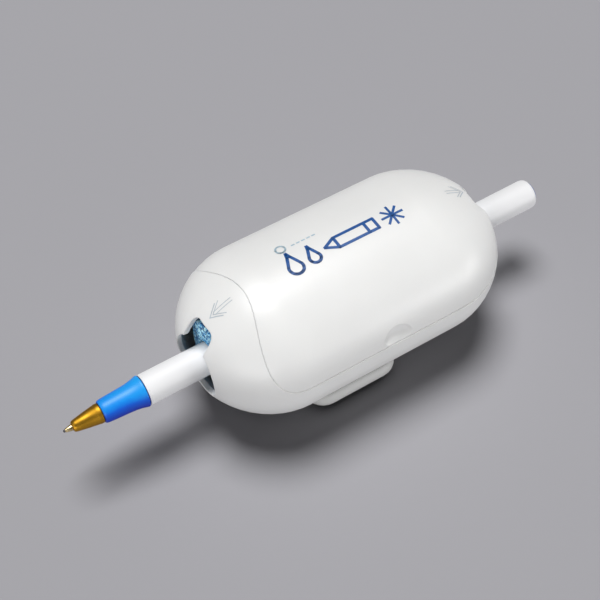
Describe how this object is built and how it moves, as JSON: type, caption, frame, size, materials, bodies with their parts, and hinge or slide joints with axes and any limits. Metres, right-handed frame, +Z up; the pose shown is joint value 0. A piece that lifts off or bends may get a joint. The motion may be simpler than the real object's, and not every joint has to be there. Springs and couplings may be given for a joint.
{
  "type": "pen cleaning capsule with ball pen",
  "caption": "Rounded two-part plastic capsule on a small foot, hinged along its back, with sponges inside and a ball pen lying through its end ports.",
  "frame": {"origin": "centre of the foot pad's underside, where the capsule stands", "axes": "+Z up, +X along the pen from its writing tip to its rear end, +Y towards the hinge side"},
  "size_m": [0.1428, 0.049, 0.0426],
  "materials": {
    "shell_white": "satin gloss",
    "lid_white": "satin gloss",
    "hinge_steel": "drawn wire",
    "foot_white": "satin",
    "pad_rubber": "matte",
    "screw_steel": "plated",
    "holder_plastic": "matte",
    "foam_blue": "open cell foam",
    "barrel_white": "gloss",
    "end_plug_white": "satin",
    "nose_blue": "gloss",
    "tip_brass": "turned and polished",
    "point_nickel": "polished",
    "ball_carbide": "polished",
    "refill_tube": "translucent",
    "refill_ink": "ink column",
    "refill_grease": "grease plug"
  },
  "bodies": {
    "capsule": {"body_tub": "shell_white", "hinge_pin": "hinge_steel", "foot_plate": "foot_white", "foot_pad": "pad_rubber", "foot_screw_1": "screw_steel", "foot_screw_2": "screw_steel", "sponge_tray": "holder_plastic", "sponge_lower": "foam_blue", "wiper_left": "foam_blue", "wiper_right": "foam_blue"},
    "lid": {"lid": "lid_white", "lid_sponge_frame": "holder_plastic", "sponge_upper": "foam_blue"},
    "pen": {"pen_barrel": "barrel_white", "pen_end_plug": "end_plug_white", "pen_nose": "nose_blue", "pen_cone": "tip_brass", "pen_point": "point_nickel", "pen_ball": "ball_carbide", "refill_tube": "refill_tube", "refill_ink": "refill_ink", "refill_grease": "refill_grease"}
  },
  "joints": [
    {"name": "lid_hinge", "type": "hinge", "parent": "capsule", "child": "lid", "pos_m": [0.0085, 0.0239, 0.0249], "axis": [-1, 0, 0], "range_deg": [0, 100]},
    {"name": "pen_slide", "type": "slide", "parent": "capsule", "child": "pen", "axis": [1, 0, 0.0063], "range_m": [-0.09, 0.11]}
  ]
}
